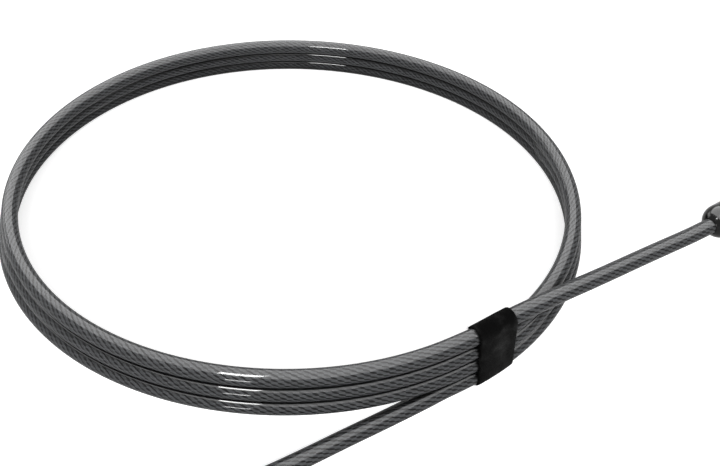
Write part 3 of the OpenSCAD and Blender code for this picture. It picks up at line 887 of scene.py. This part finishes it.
def turnedMaterial(slot, facts):         # bright metal with turning or brushing marks
    material, tree, shader = newMaterial(slot)
    place = onObject(tree)
    edge, rounded = edgeWear(tree, edgeLook["radius"] * edgeLook["onTurned"])
    if facts["marks"] == "round":
        lines = roundLines(tree, lockAxis, turnedLook["roundSlip"], facts["scale"])
    else:
        lines = stretchedNoise(tree, place, facts["scale"], facts["marks"])
    cloud = noise(tree, place, turnedLook["cloudScale"], 4.0)
    scale, stretch = turnedLook["scratchScale"], turnedLook["scratchStretch"]
    scratches = stretchedNoise(tree, place, scale, stretch, 4.0, 0.7)
    inLines = calc(tree, "MULTIPLY", lines, turnedLook["lines"])
    inClouds = calc(tree, "MULTIPLY", cloud, turnedLook["clouds"])
    shade = remap(tree, calc(tree, "ADD", inLines, inClouds), *turnedLook["shade"], 0.0, 1.0)
    colour = mixColour(tree, shade, facts["dark"], facts["light"])
    colour = mixColour(tree, calc(tree, "MULTIPLY", edge, turnedLook["edgeShine"]), colour, facts["bright"])
    tree.links.new(colour, shader.inputs["Base Color"])
    shader.inputs["Metallic"].default_value = 1.0
    roughen(tree, shader, lines, facts["roughness"])
    relief = bump(tree, lines, facts["depth"] * mm, turnedLook["lineStrength"], normal=rounded)
    scratched = remap(tree, scratches, *turnedLook["scratches"], 0.0, 1.0)
    relief = bump(tree, scratched, turnedLook["scratchDepth"], turnedLook["scratchStrength"], normal=relief)
    tree.links.new(relief, shader.inputs["Normal"])
    return material


rubberLook = {
    "cloudScale": 240.0,
    "dusty": (0.38, 0.66),       # where the clouds turn from clean to dusty
    "edgeDust": 0.4,
    "skinStrength": 0.6,
}


def rubberMaterial(slot, facts):         # matt rubber or glossy vinyl with a fine moulded skin
    material, tree, shader = newMaterial(slot)
    place = onObject(tree)
    edge, rounded = edgeWear(tree, edgeLook["radius"])
    cloud = noise(tree, place, rubberLook["cloudScale"], 4.0)
    pebbles = node(tree, "TexVoronoi", feature="SMOOTH_F1")
    tree.links.new(place, pebbles.inputs["Vector"])
    pebbles.inputs["Scale"].default_value = facts["pebbles"]
    dust = remap(tree, cloud, *rubberLook["dusty"], 0.0, 1.0)
    colour = mixColour(tree, dust, facts["colour"], facts["dusty"])
    edgeDust = calc(tree, "MULTIPLY", edge, rubberLook["edgeDust"])
    tree.links.new(mixColour(tree, edgeDust, colour, facts["dusty"]), shader.inputs["Base Color"])
    roughen(tree, shader, cloud, facts["roughness"])
    shader.inputs["Specular IOR Level"].default_value = facts["specular"]
    pebbled = pebbles.outputs["Distance"]
    skin = bump(tree, pebbled, facts["skin"] * mm, rubberLook["skinStrength"], normal=rounded)
    tree.links.new(skin, shader.inputs["Normal"])
    return material


nylonLook = {
    "cloudScale": 320.0,
    "grainScale": 2400.0,
    "grainDepth": 0.01 * mm,
    "grainStrength": 0.5,
    "milk": 0.25,                # share of the light that passes below the skin
    "milkDepth": 0.4 * mm,
}


def nylonMaterial(slot, facts):          # milky moulded nylon
    material, tree, shader = newMaterial(slot)
    place = onObject(tree)
    cloud = noise(tree, place, nylonLook["cloudScale"], 4.0)
    tree.links.new(mixColour(tree, cloud, facts["colour"], facts["dusty"]), shader.inputs["Base Color"])
    roughen(tree, shader, cloud, facts["roughness"])
    shader.inputs["Subsurface Weight"].default_value = nylonLook["milk"]
    shader.inputs["Subsurface Scale"].default_value = nylonLook["milkDepth"]
    grain = noise(tree, place, nylonLook["grainScale"])
    relief = bump(tree, grain, nylonLook["grainDepth"], nylonLook["grainStrength"])
    tree.links.new(relief, shader.inputs["Normal"])
    return material


cool = (0.97, 1.0, 1.04)
warm = (1.04, 1.0, 0.9)
finishes = {
    "lock_black": (paintedMaterial, {
        "colour": grey(0.008), "faded": grey(0.015, cool), "bare": grey(0.30), "wear": 0.55,
        "roughness": (0.30, 0.44), "peel": 0.012}),
    "collar_metal": (paintedMaterial, {
        "colour": grey(0.060, cool), "faded": grey(0.085, cool), "bare": grey(0.42), "wear": 0.7,
        "roughness": (0.30, 0.42), "peel": 0.008, "spun": 0.012}),
    "ring_chrome": (turnedMaterial, {
        "dark": grey(0.50, cool), "light": grey(0.66, cool), "bright": grey(0.85),
        "roughness": (0.10, 0.22), "depth": 0.006, "marks": "round", "scale": 9000.0}),
    "plug_nickel": (turnedMaterial, {
        "dark": grey(0.36, warm), "light": grey(0.52, warm), "bright": grey(0.75, warm),
        "roughness": (0.20, 0.36), "depth": 0.012, "marks": "round", "scale": 7000.0}),
    "hard_steel": (turnedMaterial, {
        "dark": grey(0.26, cool), "light": grey(0.42, cool), "bright": grey(0.65),
        "roughness": (0.24, 0.42), "depth": 0.014, "marks": (1.0, 1.0, 12.0), "scale": 500.0}),
    "spacer_steel": (turnedMaterial, {
        "dark": grey(0.30), "light": grey(0.44), "bright": grey(0.6),
        "roughness": (0.26, 0.42), "depth": 0.01, "marks": "round", "scale": 6000.0}),
    "disc_brass": (turnedMaterial, {
        "dark": (0.42, 0.29, 0.11, 1), "light": (0.62, 0.46, 0.20, 1), "bright": (0.80, 0.64, 0.34, 1),
        "roughness": (0.24, 0.40), "depth": 0.012, "marks": "round", "scale": 6000.0}),
    "screw_steel": (turnedMaterial, {
        "dark": grey(0.30, cool), "light": grey(0.46, cool), "bright": grey(0.7),
        "roughness": (0.22, 0.36), "depth": 0.01, "marks": (9.0, 9.0, 1.0), "scale": 700.0}),
    "fitting_steel": (turnedMaterial, {
        "dark": grey(0.24, cool), "light": grey(0.38, cool), "bright": grey(0.62),
        "roughness": (0.28, 0.46), "depth": 0.02, "marks": (1.0, 5.0, 5.0), "scale": 600.0}),
    "core_steel": (turnedMaterial, {
        "dark": grey(0.34, cool), "light": grey(0.52, cool), "bright": grey(0.8),
        "roughness": (0.18, 0.32), "depth": 0.01, "marks": (1.0, 8.0, 8.0), "scale": 600.0}),
    "ferrule_metal": (turnedMaterial, {
        "dark": grey(0.36, cool), "light": grey(0.54, cool), "bright": grey(0.8),
        "roughness": (0.26, 0.44), "depth": 0.018, "marks": (1.0, 7.0, 7.0), "scale": 500.0}),
    "pad_rubber": (rubberMaterial, {
        "colour": grey(0.014), "dusty": grey(0.045, warm), "roughness": (0.62, 0.85),
        "specular": 0.3, "pebbles": 2200.0, "skin": 0.05}),
    "boot_black": (rubberMaterial, {
        "colour": grey(0.0012), "dusty": grey(0.004), "roughness": (0.08, 0.13),
        "specular": 0.2, "pebbles": 1500.0, "skin": 0.006}),
    "washer_nylon": (nylonMaterial, {
        "colour": grey(0.66, warm), "dusty": grey(0.48, warm), "roughness": (0.35, 0.5)}),
}
headFrom = -25 * mm                      # the lock head and its boot lie right of this x

slotOf = {part["node"]: part["material_slot"] for part in frame["record"]["subparts"]}
made = {slot: build(slot, facts) for slot, (build, facts) in finishes.items()}
for name, thing in frame["nodes"].items():
    if slotOf[name] in made:
        dress(thing, made[slotOf[name]])
dress(sleeve, made["ferrule_metal"])
dress(cutWires, made["core_steel"])
headPieces = [thing for name, thing in frame["nodes"].items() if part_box(name)[0][0] > headFrom]
print("finishes on", len(slotOf), "nodes")

# floor, world, lamps and camera
studio = {
    "camera": (-0.20084, -0.09701, 0.18061),
    "yaw": 32.63,
    "pitch": 43.93,
    "roll": 0.51,
    "lens": 43.84,
    "sensor": 36,
    "clipStart": 0.01,
    "floorSize": 30,
    "floorColour": (0.86, 0.86, 0.86, 1.0),
    "floorGlow": {"camera": 0.62, "mirror": 0.2},
    "skyDiffuse": 0.3,
    "softLight": {"at": (-0.62, -0.75, 0.72), "aim": (-0.11, 0.06, 0), "size": (0.9, 0.9), "power": 17.0},
    "sideLight": {"at": (0.55, 0.6, 0.9), "aim": (-0.11, 0.06, 0), "size": (0.8, 0.8), "power": 4.0},
    "ceiling": {"at": (0.235, 0.75, 1.0), "aim": (0.235, 0.75, 0), "size": (2.23, 3.5), "power": 238.0},
    "backPanel": {"at": (-0.70, 1.62, 0.32), "aim": (-0.19, 0.08, 0.02), "size": (0.9, 0.5), "power": 6.5},
    "streak": {"at": (-0.236, 0.004, 0.197), "aim": (-0.236, 0.004, 0), "size": (0.070, 0.041), "power": 0.95,
               "spin": 40},
    "shineTop": {"at": (0.0, 0.0, 0.5), "aim": (0, 0, 0), "size": (0.6, 0.12), "power": 0.9},
    "shineSide": {"at": (0.12, -0.42, 0.28), "aim": (0, 0, 0.01), "size": (0.12, 0.3), "power": 0.5},
    "lowStreak": {"at": (-0.277, -0.069, 0.014), "aim": (-0.134, 0.039, 0.014), "size": (0.026, 0.024),
                  "power": 0.1},
}


def seenDirectly(tree):          # 1 for what the camera, a mirror or glass shows, 0 for light on the object
    path = node(tree, "LightPath")
    mirror = calc(tree, "MAXIMUM", path.outputs["Is Glossy Ray"], path.outputs["Is Transmission Ray"])
    return calc(tree, "MAXIMUM", path.outputs["Is Camera Ray"], mirror)


def buildFloor():
    bpy.ops.mesh.primitive_plane_add(size=studio["floorSize"])
    floor = bpy.context.object
    floor.name = "floor"
    material, tree, shader = newMaterial("floor_white")
    tree.nodes.remove(shader)
    matt = node(tree, "BsdfDiffuse")
    matt.inputs["Color"].default_value = studio["floorColour"]
    glow = node(tree, "Emission")
    seen = calc(tree, "MULTIPLY", node(tree, "LightPath").outputs["Is Camera Ray"],
                studio["floorGlow"]["camera"] - studio["floorGlow"]["mirror"])
    mirrored = calc(tree, "MULTIPLY", seenDirectly(tree), studio["floorGlow"]["mirror"])
    tree.links.new(calc(tree, "ADD", seen, mirrored), glow.inputs["Strength"])
    both = node(tree, "AddShader")
    tree.links.new(matt.outputs[0], both.inputs[0])
    tree.links.new(glow.outputs[0], both.inputs[1])
    tree.links.new(both.outputs[0], tree.nodes["Material Output"].inputs["Surface"])
    dress(floor, material)


def buildWorld():
    world = bpy.data.worlds.new("studio")
    world.use_nodes = True
    scene.world = world
    tree = world.node_tree
    strength = remap(tree, seenDirectly(tree), 0.0, 1.0, studio["skyDiffuse"], 1.0)
    tree.links.new(strength, tree.nodes["Background"].inputs["Strength"])
    tree.nodes["Background"].inputs["Color"].default_value = (1, 1, 1, 1)


def addLamp(name, glossyOnly=False):
    facts = studio[name]
    bpy.ops.object.light_add(type="AREA", location=facts["at"])
    lamp = bpy.context.object
    lamp.name = name
    lamp.data.shape = "RECTANGLE"
    lamp.data.size, lamp.data.size_y = facts["size"]
    lamp.data.energy = facts["power"]
    aim = Vector(facts["aim"]) - Vector(facts["at"])
    spin = Matrix.Rotation(math.radians(facts.get("spin", 0)), 3, "Z")
    lamp.rotation_euler = (aim.to_track_quat("-Z", "Y").to_matrix() @ spin).to_euler()
    lamp.visible_camera = False
    lamp.visible_diffuse = not glossyOnly
    lamp.visible_glossy = glossyOnly
    return lamp


def lightOnly(lamp, things):     # a lamp whose shine only these pieces catch
    caught = bpy.data.collections.new(lamp.name + "_catches")
    for thing in things:
        caught.objects.link(thing)
    lamp.light_linking.receiver_collection = caught


def buildCamera():
    data = bpy.data.cameras.new("camera")
    data.lens = studio["lens"]
    data.sensor_width = studio["sensor"]
    data.sensor_fit = "HORIZONTAL"
    data.clip_start = studio["clipStart"]
    camera = bpy.data.objects.new("camera", data)
    scene.collection.objects.link(camera)
    camera.matrix_world = (Matrix.Translation(studio["camera"])
                           @ Matrix.Rotation(-math.radians(studio["yaw"]), 4, "Z")
                           @ Matrix.Rotation(math.radians(90 - studio["pitch"]), 4, "X")
                           @ Matrix.Rotation(math.radians(studio["roll"]), 4, "Z"))
    scene.camera = camera


buildFloor()
buildWorld()
addLamp("softLight")
addLamp("sideLight")
for name in ("ceiling", "backPanel", "streak", "lowStreak"):
    lightOnly(addLamp(name, glossyOnly=True), [cableTube, frame["nodes"]["cable_boot"]])
for name in ("shineTop", "shineSide"):
    lightOnly(addLamp(name, glossyOnly=True), headPieces + [sleeve, cutWires])
buildCamera()
print("studio ready")
